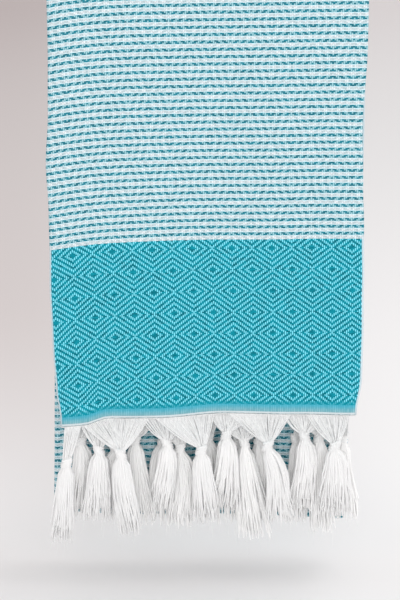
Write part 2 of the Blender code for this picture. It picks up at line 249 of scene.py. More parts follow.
PICK_RISE = (
    # z, then how far the picks lie above their level at each of those places
    (-0.06, 0.0030, 0.0015, 0.0015, 0.0025),
    (-0.13, 0.0020, 0.0007, 0.0005, 0.0014),
    (-0.24, 0.0005, 0.0010, 0.0005, 0.0015),
    (-0.36, 0.0000, 0.0003, -0.0004, 0.0018),
)
ENDS_LEAN = (
    # z, how far to the right the ends lie there
    (-0.15, -0.0035),
    (-0.21, -0.0025),
    (-0.31, 0.0),
    (-0.38, 0.0013),
)
LEFT_EDGE = (
    # length from the front hem, how far the front's left side stands out there
    (0.34, 0.0004),
    (0.30, 0.0003),
    (0.25, 0.0013),
    (0.205, 0.0040),
    (0.175, 0.0027),
    (0.145, 0.0031),
    (0.10, 0.0050),
    (0.055, 0.0050),
    (0.015, 0.0034),
    (0.00, 0.0008),
)
RIGHT_EDGE = (
    # the same for its right side
    (0.30, 0.0000),
    (0.237, -0.0026),
    (0.19, -0.0010),
    (0.155, 0.0008),
    (0.107, 0.0026),
    (0.065, 0.0040),
    (0.030, 0.0042),
    (0.00, 0.0004),
)
CREASES = (
    # x, width, height towards the front, from z, to z
    (-0.112, 0.014, 0.0007, -0.02, -0.40),
    (-0.086, 0.017, -0.0010, -0.06, -0.42),
    (-0.036, 0.026, 0.0008, -0.10, -0.42),
    (0.010, 0.020, -0.0008, -0.05, -0.40),
    (0.052, 0.022, 0.0011, -0.02, -0.36),
    (0.086, 0.016, -0.0009, -0.12, -0.42),
    (0.112, 0.012, 0.0006, -0.02, -0.42),
)
CREASE_STARTS = 0.06
CREASE_RUNS_ON = 0.10
CREASE_ENDS = 0.08


def ease(value):
    """Smooth step from 0 to 1."""
    value = min(max(value, 0.0), 1.0)
    return value * value * (3 - 2 * value)


def mix(start, end, share):
    """The place at a share of the way from start to end."""
    return start + (end - start) * share


def span(places, at):
    """The index of the stretch that holds a place, and the share along it."""
    index = 0
    while index < len(places) - 2 and (at - places[index + 1]) * (places[-1] - places[0]) > 0:
        index += 1
    return index, min(max((at - places[index]) / (places[index + 1] - places[index]), 0.0), 1.0)


def read_along(table, at):
    """A table's second column at a place in its first, eased from row to row."""
    line, share = span([row[0] for row in table], at)
    return mix(table[line][1], table[line + 1][1], ease(share))


def run_ends(layer):
    """X of a layer's two ends: its folds, or the fold and the selvedge."""
    left = -FOLDED_WIDTH / 2 + WIDE_FOLD + SHEET / 2
    right = FOLDED_WIDTH / 2 - NARROW_FOLD - SHEET / 2
    return left, SELVEDGE_X if layer in ("rear", "third") else right


def section():
    """Stations of the folded sheet, in order from its rear selvedge.

    Each is its distance across the sheet, its x, its distance out from the middle of the
    stack, and its layer.
    """
    stations = []
    across = 0.0
    for index, (layer, level, heading) in enumerate(LAYERS):
        start, end = run_ends(layer)[::heading]
        for step in range(0 if index == 0 else 1, RUN_STEPS + 1):
            share = step / RUN_STEPS
            stations.append((across + abs(end - start) * share, mix(start, end, share),
                             level * LAYER_STEP, layer))
        across += abs(end - start)
        if index + 1 == len(LAYERS):
            break
        centre_x = run_ends("face")[0 if heading == LEFT else 1]
        next_level = LAYERS[index + 1][1]
        outer = layer if level > next_level else LAYERS[index + 1][0]
        radius = abs(level - next_level) / 2 * LAYER_STEP
        for step in range(1, FOLD_STEPS + 1):
            angle = math.copysign(math.pi / 2, level - next_level) * (1 - 2 * step / FOLD_STEPS)
            stations.append((across + math.pi * radius * step / FOLD_STEPS,
                             centre_x + heading * radius * math.cos(angle),
                             (level + next_level) / 2 * LAYER_STEP + radius * math.sin(angle),
                             outer))
        across += math.pi * radius
    return stations


def piece_lengths():
    """Lengths of the path's pieces, in order from the front hem."""
    front = FRONT_DROP + AXIS_Z
    back = -BOTTOM_Z + AXIS_Z
    over = math.pi * OUTER_RADIUS
    turn = math.pi * BOTTOM_RADIUS
    under = math.pi * INNER_RADIUS
    inside = CLOTH_LENGTH - (front + over + 2 * back + turn + under)
    return front, over, back, turn, back, under, inside


def path(s):
    """Point (y, z) and outward normal (y, z) of the stack's middle at a length from the hem."""
    front, over, back, turn, _, under, _ = piece_lengths()
    middle_y = (INNER_RADIUS + OUTER_RADIUS) / 2
    if s < front:
        return -OUTER_RADIUS, AXIS_Z - front + s, -1.0, 0.0
    s -= front
    if s < over:
        out_y, out_z = -math.cos(s / OUTER_RADIUS), math.sin(s / OUTER_RADIUS)
        return OUTER_RADIUS * out_y, AXIS_Z + OUTER_RADIUS * out_z, out_y, out_z
    s -= over
    if s < back:
        return OUTER_RADIUS, AXIS_Z - s, 1.0, 0.0
    s -= back
    if s < turn:
        out_y, out_z = math.cos(s / BOTTOM_RADIUS), -math.sin(s / BOTTOM_RADIUS)
        return middle_y + BOTTOM_RADIUS * out_y, BOTTOM_Z + BOTTOM_RADIUS * out_z, out_y, out_z
    s -= turn
    if s < back:
        return INNER_RADIUS, BOTTOM_Z + s, -1.0, 0.0
    s -= back
    if s < under:
        out_y, out_z = math.cos(s / INNER_RADIUS), math.sin(s / INNER_RADIUS)
        return INNER_RADIUS * out_y, AXIS_Z + INNER_RADIUS * out_z, -out_y, -out_z
    return -INNER_RADIUS, AXIS_Z - (s - under), 1.0, 0.0


def sway(x, z):
    """How far the hung towel stands off its plane, growing down from the top."""
    return SWAY * ease(-z / SWAY_HEIGHT) * math.sin(math.tau * x / SWAY_WAVE + SWAY_PHASE)


def crease(x, z):
    """How far soft troughs and ridges move the whole stack towards the front."""
    total = 0.0
    for centre, width, height, top, low in CREASES:
        reach = ease((top - z) / CREASE_STARTS) * ease((z - low + CREASE_RUNS_ON) / CREASE_ENDS)
        total += height * reach * math.exp(-((x - centre) / width) ** 2)
    return total


def draw_in(s, x):
    """How far to the right a point of the front moves, as its sides draw in and wave."""
    to_the_left = 0.5 - x / FOLDED_WIDTH
    drawn = DRAW_LEFT * to_the_left - DRAW_RIGHT * (1 - to_the_left)
    right_wave = read_along(RIGHT_EDGE, s) * ease((x - EDGE_FROM) / EDGE_REACH)
    left_wave = read_along(LEFT_EDGE, s) * ease((-EDGE_FROM - x) / EDGE_REACH)
    waves = (right_wave - left_wave) * ease((FRONT_DROP - s) / EDGE_GROWS)
    return ease(1 - s / DRAW_LENGTH) * drawn + waves


def place(s, x, n):
    """Where a point hangs: s along the path from the front hem, x, and n out from the stack."""
    y, z, out_y, out_z = path(s)
    if y > 0 and z < AXIS_Z:
        below = AXIS_Z - z
        z = AXIS_Z - below * (1 + BACK_TILT * x / FOLDED_WIDTH)
        x -= BACK_SHIFT * (below / BACK_DROP) ** 2
    x += draw_in(s, x)
    y += n * out_y
    z += n * out_z
    return Vector((x, y + sway(x, z) - crease(x, z), z))


def hem_droop(layer, x):
    """How far below its level the front hem lies at a place across the fold."""
    return 0.0 if layer in ("second", "third") else read_along(HEM_LINE, x)


def pick_rise(x, z):
    """How far the picks of the front lie above their level, read from their table."""
    column, across = span(PICK_RISE_AT, x)
    line, down = span([row[0] for row in PICK_RISE], z)
    upper, lower = (mix(row[column + 1], row[column + 2], across) for row in PICK_RISE[line:line + 2])
    return mix(upper, lower, down)


def pick_droop(layer, x, s):
    """How far the picks lie below their level: the cloth is folded a little askew."""
    if layer in ("second", "third"):
        return 0.0
    from_fold = x + FOLDED_WIDTH / 2
    droop = PICK_DROOP + PICK_DROOP_LOW * ease(1 - s / PICK_LOW)
    droop *= math.exp(-from_fold / PICK_DROOP_WIDTH) * ease(2 - 2 * s / CLOTH_LENGTH)
    return mix(hem_droop(layer, x), droop, ease(s / HEM_PULL))


# The weave is a twill of two up and two down, which turns back every eleven ends and every
# sixteen picks. Where the weft is all teal, the turns draw diamonds. The band ends in a
# plain strip that fades into the white row of the hem.
ENDS_TO_TURN = 11
PICKS_TO_TURN = 16
TWILL_STEP = 4
TWILL_START = 1.5
# How far from its middle, in threads, a thread is at its full height and where it ends.
WARP_SIDE = (0.16, 0.40)
WEFT_SIDE = (0.10, 0.50)
WEFT_HEIGHT = 0.6
WIDER_IN_BODY = 0.10
WARP_PITCH = 0.001458
BAND_PICK = 0.0011025
BODY_PICK = 0.001128
# The middle of one diamond: how far across the sheet it lies, and how far from the hem.
DIAMOND_U = 0.3635
DIAMOND_V = 0.1393
PICKS_ABOVE_DIAMOND = 7
BAND_TOP = DIAMOND_V + (PICKS_ABOVE_DIAMOND - 0.5) * BAND_PICK
BODY_PICKS = 5
BODY_WHITE_PICKS = 3
# Half a teal row's height in picks, and the same with the white weft that it tints.
TEAL_ROW = 1.18
BESIDE_TEAL = 1.62
# Distances from the hem. A pair is where a colour is full and where it is gone.
TEAL_PICKS_TOP = 0.0106
PLAIN_TOP = 0.0080
HEM_ROW = (0.0015, 0.0021)
HEM_STITCHES = 0.0005
# Painted highlight along the band's folded sides, by the distance from a side.
EDGE_HIGHLIGHT_REACH = (0.0007, 0.0019)
# How strongly each effect shows.
STITCHES_SHOW = 0.6
TEAL_PICKS_SHOW = 0.7
END_STREAKS = 0.5
TONE_STREAKS = 0.42
GRAIN_ON_WARP = 0.8
# Painted shade in the gaps between the ends of the body's white rows.
PAINTED_SHADE_BETWEEN_ENDS = 0.7
TEAL_YARN = (0.004, 0.26, 0.34, 1)
DEEP_TEAL = (0.002, 0.14, 0.185, 1)
EDGE_HIGHLIGHT_WHITE = (0.57, 0.67, 0.715, 1)
HEM_WHITE = (0.74, 0.82, 0.845, 1)
BODY_TEAL = (0.021, 0.215, 0.287, 1)
DEEP_BODY_TEAL = (0.014, 0.130, 0.175, 1)
WHITE_WEFT = (0.735, 0.765, 0.790, 1)
SHADED_WEFT = (0.570, 0.635, 0.668, 1)
WEFT_BESIDE_TEAL = (0.555, 0.800, 0.875, 1)
GRAIN_AND_GAP_SHADE = (0.53, 0.67, 0.69, 1)
WHITE_IN_BAND = (0.21, 0.74, 0.88, 1)
TEAL_SHOWS_THROUGH = (0.305, 0.545, 0.600, 1)
PLAIN_TEAL = (0.085, 0.43, 0.56, 1)
PLAIN_PALE = (0.33, 0.56, 0.615, 1)
TONES_IN_A_METRE = 160.0
NEXT_THREAD = 3.7
TONE_RANGE = (0.68, 0.34)
COTTON_ROUGHNESS = 0.9
COTTON_SHINE = 0.1
WEAVE_RELIEF = 0.0003
WEAVE_BUMP = 0.6


def group_of(name, inputs, outputs):
    """An empty node group with float sockets of these names."""
    group = bpy.data.node_groups.new(name, "ShaderNodeTree")
    for socket in inputs:
        group.interface.new_socket(socket, in_out="INPUT", socket_type="NodeSocketFloat")
    for socket in outputs:
        group.interface.new_socket(socket, in_out="OUTPUT", socket_type="NodeSocketFloat")
    return group, group.nodes.new("NodeGroupInput"), group.nodes.new("NodeGroupOutput")


weave, weave_in, weave_out = group_of("diamond_weave", ("Ends", "Picks", "Body"),
                                       ("Warp Up", "Thread", "Height", "End", "Pick"))
end = calc(weave, "FLOOR", weave_in.outputs["Ends"])
pick = calc(weave, "FLOOR", weave_in.outputs["Picks"])
on_end = calc(weave, "FRACT", weave_in.outputs["Ends"])
on_pick = calc(weave, "FRACT", weave_in.outputs["Picks"])
beside_end = calc(weave, "ABSOLUTE", calc(weave, "SUBTRACT", on_end, 0.5))
beside_pick = calc(weave, "ABSOLUTE", calc(weave, "SUBTRACT", on_pick, 0.5))
turned = calc(weave, "ADD", calc(weave, "PINGPONG", end, ENDS_TO_TURN),
              calc(weave, "PINGPONG", pick, PICKS_TO_TURN))
crossing = calc(weave, "MODULO", calc(weave, "ADD", turned, TWILL_START), TWILL_STEP)
lifted = calc(weave, "LESS_THAN", crossing, TWILL_STEP / 2)
# In the band, the one end at the very middle of a diamond stays down.
halfway = (ENDS_TO_TURN + PICKS_TO_TURN) / 2
free_to_lift = calc(weave, "COMPARE", turned, halfway, halfway - 0.5)
free_to_lift = calc(weave, "MAXIMUM", free_to_lift, weave_in.outputs["Body"])
wider = calc(weave, "MULTIPLY", weave_in.outputs["Body"], WIDER_IN_BODY)
thread = fade(weave, calc(weave, "SUBTRACT", beside_end, wider), *WARP_SIDE)
warp_up = calc(weave, "MULTIPLY", calc(weave, "MULTIPLY", lifted, free_to_lift), thread)
weft_height = calc(weave, "MULTIPLY", fade(weave, beside_pick, *WEFT_SIDE), WEFT_HEIGHT)
weave.links.new(warp_up, weave_out.inputs["Warp Up"])
weave.links.new(thread, weave_out.inputs["Thread"])
weave.links.new(calc(weave, "MAXIMUM", weft_height, warp_up), weave_out.inputs["Height"])
weave.links.new(end, weave_out.inputs["End"])
weave.links.new(pick, weave_out.inputs["Pick"])

# Cotton yarn is uneven, and each thread turns darker and lighter along its length.
yarn, yarn_in, yarn_out = group_of("uneven_yarn", ("Along", "Thread"), ("Tone",))
yarn_place = yarn.nodes.new("ShaderNodeCombineXYZ")
along_thread = calc(yarn, "MULTIPLY", yarn_in.outputs["Along"], TONES_IN_A_METRE)
yarn.links.new(along_thread, yarn_place.inputs["X"])
yarn.links.new(calc(yarn, "MULTIPLY", yarn_in.outputs["Thread"], NEXT_THREAD), yarn_place.inputs["Y"])
yarn_noise = yarn.nodes.new("ShaderNodeTexNoise")
yarn_noise.inputs["Scale"].default_value = 1.0
yarn_noise.inputs["Detail"].default_value = 2.0
yarn.links.new(yarn_place.outputs["Vector"], yarn_noise.inputs["Vector"])
yarn.links.new(fade(yarn, yarn_noise.outputs["Fac"], *TONE_RANGE), yarn_out.inputs["Tone"])


def yarn_tone(tree, along, thread):
    """How dark a thread is at a length along it, from 0 to 1."""
    node = tree.nodes.new("ShaderNodeGroup")
    node.node_tree = yarn
    tree.links.new(along, node.inputs["Along"])
    tree.links.new(thread, node.inputs["Thread"])
    return node.outputs["Tone"]


def finish_cotton(tree, shader, colour, height, relief, strength):
    """Give a cotton shader its colour, its dull surface, and the relief of its threads."""
    tree.links.new(colour, shader.inputs["Base Color"])
    shader.inputs["Roughness"].default_value = COTTON_ROUGHNESS
    shader.inputs["Specular IOR Level"].default_value = COTTON_SHINE
    bump = tree.nodes.new("ShaderNodeBump")
    bump.inputs["Distance"].default_value = relief
    bump.inputs["Strength"].default_value = strength
    tree.links.new(height, bump.inputs["Height"])
    tree.links.new(bump.outputs["Normal"], shader.inputs["Normal"])


def thread_at(tree, length, start, pitch, number):
    """The number of the thread at a length, where the one at the start has this number."""
    from_start = calc(tree, "SUBTRACT", length, start)
    return calc(tree, "ADD", calc(tree, "DIVIDE", from_start, pitch), number)


cotton_cloth, tree, shader = new_material("cotton_cloth")
uv = tree.nodes.new("ShaderNodeUVMap")
uv.uv_map = "weave"
place_on_cloth = tree.nodes.new("ShaderNodeSeparateXYZ")
tree.links.new(uv.outputs["UV"], place_on_cloth.inputs["Vector"])
across, along = place_on_cloth.outputs["X"], place_on_cloth.outputs["Y"]
from_hem = calc(tree, "MINIMUM", along, calc(tree, "SUBTRACT", CLOTH_LENGTH, along))
in_body = calc(tree, "GREATER_THAN", from_hem, BAND_TOP)
in_band = calc(tree, "SUBTRACT", 1, in_body)
ends = thread_at(tree, across, DIAMOND_U, WARP_PITCH, 0.5)
band_picks = thread_at(tree, from_hem, DIAMOND_V, BAND_PICK, 0.5)
body_picks = thread_at(tree, from_hem, BAND_TOP, BODY_PICK, PICKS_ABOVE_DIAMOND)
picks = calc(tree, "ADD", calc(tree, "MULTIPLY", band_picks, in_band),
             calc(tree, "MULTIPLY", body_picks, in_body))
cells = tree.nodes.new("ShaderNodeGroup")
cells.node_tree = weave
tree.links.new(ends, cells.inputs["Ends"])
tree.links.new(picks, cells.inputs["Picks"])
tree.links.new(in_body, cells.inputs["Body"])
weft_tone = yarn_tone(tree, across, cells.outputs["Pick"])
warp_tone = yarn_tone(tree, along, cells.outputs["End"])
between_ends = calc(tree, "SUBTRACT", 1, cells.outputs["Thread"])

# In the body two teal picks follow three white ones.
body_start = PICKS_ABOVE_DIAMOND + BODY_WHITE_PICKS / 2
row = calc(tree, "MODULO", calc(tree, "SUBTRACT", picks, body_start), BODY_PICKS)
teal_row = calc(tree, "COMPARE", row, BODY_PICKS / 2, TEAL_ROW)
white_row = calc(tree, "MULTIPLY", in_body, calc(tree, "SUBTRACT", 1, teal_row))
beside_teal = calc(tree, "COMPARE", row, BODY_PICKS / 2, BESIDE_TEAL)
white_yarn = blend(tree, weft_tone, WHITE_WEFT, SHADED_WEFT)
white_weft = blend(tree, beside_teal, white_yarn, WEFT_BESIDE_TEAL)
band_weft = blend(tree, weft_tone, TEAL_YARN, DEEP_TEAL)
teal_weft = blend(tree, in_body, band_weft, blend(tree, weft_tone, BODY_TEAL, DEEP_BODY_TEAL))
weft = blend(tree, white_row, teal_weft, white_weft)
over_white = blend(tree, warp_tone, WHITE_WEFT, SHADED_WEFT)
over_teal = blend(tree, teal_row, over_white, TEAL_SHOWS_THROUGH)
warp = blend(tree, in_body, WHITE_IN_BAND, over_teal)
twill = blend(tree, cells.outputs["Warp Up"], weft, warp)

# The body's white rows are grainy with the warp: its floats are a darker tone, and the
# gaps between the ends get painted shade. The band's last picks before the plain strip
# are nearly all teal.
# Warp floats take a darker tone; the gaps between ends take painted shade.
warp_grain_and_gap_shade = calc(tree, "MAXIMUM", calc(tree, "MULTIPLY", cells.outputs["Warp Up"], GRAIN_ON_WARP),
             calc(tree, "MULTIPLY", between_ends, PAINTED_SHADE_BETWEEN_ENDS))
warp_grain_and_gap_shade = calc(tree, "MULTIPLY", warp_grain_and_gap_shade, calc(tree, "SUBTRACT", in_body, beside_teal))
twill = blend(tree, calc(tree, "MAXIMUM", warp_grain_and_gap_shade, 0), twill, GRAIN_AND_GAP_SHADE, "MULTIPLY")
teal_picks = calc(tree, "LESS_THAN", from_hem, TEAL_PICKS_TOP)
twill = blend(tree, calc(tree, "MULTIPLY", teal_picks, TEAL_PICKS_SHOW), twill, TEAL_YARN)

# The plain strip, the white row of the hem, its stitches, and a painted highlight along the band's
# folded sides.
plain = blend(tree, fade(tree, from_hem, HEM_ROW[0], PLAIN_TOP), PLAIN_TEAL, PLAIN_PALE)
streaks = calc(tree, "MAXIMUM", calc(tree, "MULTIPLY", between_ends, END_STREAKS),
               calc(tree, "MULTIPLY", warp_tone, TONE_STREAKS))
plain = blend(tree, streaks, plain, TEAL_YARN)
woven = blend(tree, calc(tree, "LESS_THAN", from_hem, PLAIN_TOP), twill, plain)
woven = blend(tree, fade(tree, from_hem, *HEM_ROW), woven, HEM_WHITE)
stitches = calc(tree, "MULTIPLY", calc(tree, "LESS_THAN", from_hem, HEM_STITCHES), warp_tone)
woven = blend(tree, calc(tree, "MULTIPLY", stitches, STITCHES_SHOW), woven, DEEP_TEAL)
from_side = tree.nodes.new("ShaderNodeAttribute")
from_side.attribute_name = "from_side"
# Painted highlight: the band turns pale near its folded sides, where light catches the curve.
edge_highlight = calc(tree, "MULTIPLY", fade(tree, from_side.outputs["Fac"], *EDGE_HIGHLIGHT_REACH), in_band)
woven = blend(tree, edge_highlight, woven, EDGE_HIGHLIGHT_WHITE)
finish_cotton(tree, shader, woven, cells.outputs["Height"], WEAVE_RELIEF, WEAVE_BUMP)

# The sheet's grid has a column for each station across the folds and a row for each step
# along the path. Its weave follows the sheet, and leans and droops a little on the front.
stations = section()
rows = [0.0]
for length, steps in zip(piece_lengths(), PATH_STEPS):
    start = rows[-1]
    rows += [start + length * step / steps for step in range(1, steps + 1)]
bm = bmesh.new()
weave_map = bm.loops.layers.uv.new("weave")
side_layer = bm.verts.layers.float.new("from_side")
bmesh.ops.create_grid(bm, x_segments=len(stations) - 1, y_segments=len(rows) - 1, size=0.5)
on_cloth = {}
for vert in bm.verts:
    across_sheet, x, n, layer = stations[round((vert.co.x + 0.5) * (len(stations) - 1))]
    row_s = rows[round((vert.co.y + 0.5) * (len(rows) - 1))]
    s = row_s - hem_droop(layer, x) * ease(1 - row_s / HEM_PULL)
    vert.co = place(s, x, n)
    vert[side_layer] = (FOLDED_WIDTH - SHEET) / 2 - abs(x)
    across_sheet += HEADING[layer] * (draw_in(s, x) - read_along(ENDS_LEAN, vert.co.z))
    rise = pick_rise(x, vert.co.z) * ease(row_s / RISE_PULL)
    rise *= ease((piece_lengths()[0] - row_s) / RISE_PULL)
    on_cloth[vert] = (across_sheet, s + pick_droop(layer, x, row_s) - rise)
for face in bm.faces:
    face.smooth = True
    for loop in face.loops:
        loop[weave_map].uv = on_cloth[loop.vert]
cloth = object_from(bm, "towel_cloth", cotton_cloth)
thickness = cloth.modifiers.new("thickness", "SOLIDIFY")
thickness.thickness = CLOTH_THICKNESS
thickness.offset = 0
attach(cloth, "root")
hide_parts("woven_cloth")


# The front fringe. The warp's ends leave the hem and are gathered, a few centimetres at a
# time, into fans; each is tied in a knot, and hangs on as a soft skirt. The hem's four
# layers give four rows of tassels, one behind another.
ROW_Y = {"face": -0.0290, "second": -0.0204, "third": -0.0118, "rear": -0.0032}
FRONT_TASSELS = (
    # layer, fan left, fan right, knot x, knot drop, tip x, tip drop, skirt's width at its tip
    ("face", -0.1210, -0.1070, -0.1165, 0.0410, -0.1220, 0.1070, 0.0150),
    ("face", -0.1055, -0.0500, -0.0715, 0.0320, -0.0665, 0.1010, 0.0235),
    ("face", -0.0450, 0.0055, -0.0050, 0.0305, -0.0005, 0.0890, 0.0220),
    ("face", 0.0165, 0.0700, 0.0500, 0.0260, 0.0645, 0.0905, 0.0215),
    ("face", 0.0820, 0.1190, 0.1050, 0.0255, 0.1090, 0.0820, 0.0290),
    ("second", -0.1120, -0.0740, -0.0900, 0.0320, -0.0930, 0.0905, 0.0235),
    ("second", -0.0600, -0.0200, -0.0335, 0.0265, -0.0370, 0.0810, 0.0220),
    ("second", 0.0000, 0.0360, 0.0160, 0.0200, 0.0150, 0.0805, 0.0235),
    ("second", 0.0620, 0.1010, 0.0805, 0.0200, 0.0805, 0.0830, 0.0225),
    ("third", -0.0840, -0.0500, -0.0770, 0.0330, -0.0790, 0.0960, 0.0220),
    ("third", -0.0480, -0.0010, -0.0230, 0.0340, -0.0190, 0.1010, 0.0220),
    ("third", 0.0010, 0.0560, 0.0310, 0.0300, 0.0390, 0.1125, 0.0280),
    ("third", 0.0760, 0.1180, 0.0935, 0.0240, 0.0960, 0.1050, 0.0235),
    ("rear", -0.1210, -0.0850, -0.1060, 0.0300, -0.1070, 0.0970, 0.0235),
    ("rear", -0.0840, -0.0440, -0.0605, 0.0290, -0.0570, 0.1010, 0.0220),
    ("rear", -0.0430, -0.0190, -0.0370, 0.0290, -0.0380, 0.1020, 0.0260),
    ("rear", -0.0180, 0.0105, 0.0010, 0.0280, 0.0010, 0.1030, 0.0260),
    ("rear", 0.0115, 0.0350, 0.0260, 0.0290, 0.0250, 0.1010, 0.0220),
    ("rear", 0.0360, 0.0680, 0.0440, 0.0290, 0.0450, 0.1000, 0.0240),
    ("rear", 0.0740, 0.0930, 0.0750, 0.0290, 0.0770, 0.1010, 0.0235),
    ("rear", 0.0940, 0.1190, 0.1140, 0.0280, 0.1150, 0.0970, 0.0235),
)
# Lit and shaded copies of one cotton. The tied yarn of the fans and knots is painted darker, with
# painted shadow lines between its threads. The loose yarn of the skirts is painted lighter to lift
# their own shade.
TIED_YARN_PAINTED_DARKER = (0.82, 0.825, 0.825, 1)
SHADED_TIED_YARN = (0.60, 0.61, 0.615, 1)
LOOSE_YARN_PAINTED_LIGHTER = (0.905, 0.90, 0.895, 1)
SHADED_LOOSE_YARN = (0.865, 0.86, 0.855, 1)
# Painted shade: the front rows of loose yarn are painted a little darker than the rows behind them.
FRONT_ROWS_PAINTED_SHADE = (0.89, 0.89, 0.895, 1)
FRONT_ROWS_Y = (-0.032, -0.010)
LOOSE_Z = (-0.430, -0.405)
FIBRES_IN_A_METRE = 700.0
FIBRE_SHEEN = 0.8
FIBRE_RELIEF = 0.0002
FIBRE_BUMP = 0.1
BELOW_HEM = 0.0004
HEM_CORD = 0.0005
# A fan's threads: their radius, their share of it at the knot, their points and their slack.
THREAD = 0.00074
TIED_THREAD = 0.8
FAN_POINTS = 8
FAN_NARROW = 1.1
FAN_LEAST = 15
FAN_SLACK = (-0.0006, 0.0010)
FAN_WANDER = 0.0005
FAN_SAG = 0.0035
NECK = 0.0032
NECK_DEPTH = 0.0022
# A knot's size and its loops of yarn.
KNOT_WIDTH = 0.0110
KNOT_DEPTH = 0.0072
KNOT_HEIGHT = 0.0100
KNOT_LOOPS = 5
KNOT_YARN = 0.00160
KNOT_TILT = 0.0032
KNOT_ROUND = 0.62
LOOP_POINTS = 14
# A skirt opens from its waist over a sixth of its length, and deepens over a quarter. Its
# yarns thin towards its outside and towards their tips, which are uneven.
SKIRT_POINTS = 8
SKIRT_THREADS = 96
SKIRT_TOP = 0.0105
SKIRT_FLARE = 0.7
WAIST_WIDTH = 0.36
WAIST_DEPTH = 0.6
WAIST_OPENS = 6
WAIST_DEEPENS = 4
SKIRT_CORE = 0.00150
SKIRT_YARN = 0.00116
CORE_TO_YARN = 1.4
YARN_TIP = 0.22
TIP_UNEVEN = 0.014
TIP_RANGE = (-1.1, 0.3)
BEND = 0.0028
BEND_WAVE = 1.5 * math.pi
CURL = 0.0013
CURLINESS = (0.2, 1)
CURL_BEATS = (4, 11)
# The golden angle lays yarns and locks evenly round a bundle.
GOLDEN_TURN = 2.4
SKIRT_LOCKS = 7
LOCK_PULL = 0.12
LOCK_DRIFT = 0.0030
STRAY_HAIRS = 9
STRAY_HAIR = 0.00018
STRAY_CURL = 2
TASSEL_SEED = 8


def spin_yarn(curve, points, radii, loop=False):
    """Add one thread to a fringe, through these points and this thick at each."""
    thread = curve.splines.new("POLY")
    thread.points.add(len(points) - 1)
    thread.use_cyclic_u = loop
    thread.use_smooth = True
    for point, spot, radius in zip(thread.points, points, radii):
        point.co = (*spot, 1)
        point.radius = radius


def tie_fan(curve, roots, knot, chance):
    """Bring the warp's ends from the hem down to the neck of a knot."""
    neck = knot + Vector((0, 0, KNOT_HEIGHT / 2))
    for index, root in enumerate(roots):
        side = 2 * (index + 0.5) / len(roots) - 1
        behind = chance.uniform(-1, 1) * NECK_DEPTH * (1 - side * side)
        end = neck + Vector((side * NECK, behind, -KNOT_HEIGHT / 4))
        slack = chance.uniform(*FAN_SLACK)
        wander = chance.uniform(-1, 1) * FAN_WANDER
        points = []
        radii = []
        for step in range(FAN_POINTS):
            share = step / (FAN_POINTS - 1)
            bow = math.sin(math.pi * share)
            points.append((mix(root.x, end.x, 1 - (1 - share) ** FAN_NARROW) + wander * bow,
                           mix(root.y, end.y, share * share) - slack * bow,
                           mix(root.z, end.z, share) - FAN_SAG * side * side * bow))
            radii.append(THREAD * mix(1.0, TIED_THREAD, step / FAN_POINTS))
        spin_yarn(curve, points, radii)


def tie_knot(curve, knot, depth, chance):
    """Wind a knot from loops that lean round its core."""
    lean = KNOT_TILT * chance.choice((-1, 1))
    for index in range(KNOT_LOOPS):
        level = 2 * (index + 0.5) / KNOT_LOOPS - 1
        out = math.sqrt(1 - KNOT_ROUND * level * level)
        points = []
        for step in range(LOOP_POINTS):
            turn = math.tau * step / LOOP_POINTS
            tilt = lean * math.cos(turn) * (1 - level * level)
            points.append((knot.x + (KNOT_WIDTH / 2 - KNOT_YARN) * out * math.cos(turn),
                           knot.y + (depth / 2 - KNOT_YARN) * out * math.sin(turn),
                           knot.z + level * (KNOT_HEIGHT / 2 - KNOT_YARN) + tilt))
        spin_yarn(curve, points, [KNOT_YARN] * LOOP_POINTS, loop=True)


def in_bundle(index, share):
    """The place of a yarn in a round bundle that is wound from its middle out."""
    out = share ** 0.5
    return Vector((math.sin(GOLDEN_TURN * index) * out, math.cos(GOLDEN_TURN * index) * out))


def hang_skirt(curve, knot, tip, width, depth, threads, chance):
    """Let the ends hang on below a knot, in loose locks of uneven length."""
    locks = [in_bundle(index, index / SKIRT_LOCKS) for index in range(SKIRT_LOCKS)]
    drifts = [chance.uniform(-1, 1) * LOCK_DRIFT for _ in locks]
    foot = knot - Vector((0, 0, KNOT_HEIGHT / 2 - 2 * KNOT_YARN))
    bend = chance.uniform(-1, 1) * BEND
    for index in range(threads + STRAY_HAIRS):
        stray = index >= threads
        spot = in_bundle(index, (index + 0.5) / threads)
        lock = min(range(SKIRT_LOCKS), key=lambda at: (locks[at] - spot).length)
        longer = chance.uniform(*TIP_RANGE) * TIP_UNEVEN + (TIP_UNEVEN if stray else 0)
        wave = chance.uniform(*CURLINESS) * CURL * (STRAY_CURL if stray else 1)
        phase = chance.uniform(0, math.tau)
        beat = chance.uniform(*CURL_BEATS)
        thick = STRAY_HAIR if stray else mix(SKIRT_CORE, SKIRT_YARN, ease(CORE_TO_YARN * spot.length))
        points = []
        radii = []
        for step in range(SKIRT_POINTS):
            share = step / (SKIRT_POINTS - 1)
            held = mix(spot, locks[lock], LOCK_PULL * ease(share))
            wide = mix(SKIRT_TOP, width, share ** SKIRT_FLARE) / 2
            wide *= mix(WAIST_WIDTH, 1, ease(share * WAIST_OPENS))
            deep = mix(WAIST_DEPTH, 1, ease(share * WAIST_DEEPENS))
            points.append((mix(foot.x, tip.x, share) + held.x * wide + drifts[lock] * share * share
                           + bend * math.sin(BEND_WAVE * share)
                           + wave * share * math.sin(beat * share + phase),
                           mix(foot.y, tip.y, share) + held.y * depth / 2 * deep,
                           mix(foot.z, tip.z, share) - longer * share))
            radii.append(thick * mix(1.0, YARN_TIP, (step / SKIRT_POINTS) ** 2))
        spin_yarn(curve, points, radii)


def tie_tassel(curve, roots, knot, tip, width, depth, threads, chance):
    """Tie one tassel: its fan, its knot and its skirt."""
    tie_fan(curve, roots, knot, chance)
    tie_knot(curve, knot, depth, chance)
    hang_skirt(curve, knot, tip, width, depth, threads, chance)


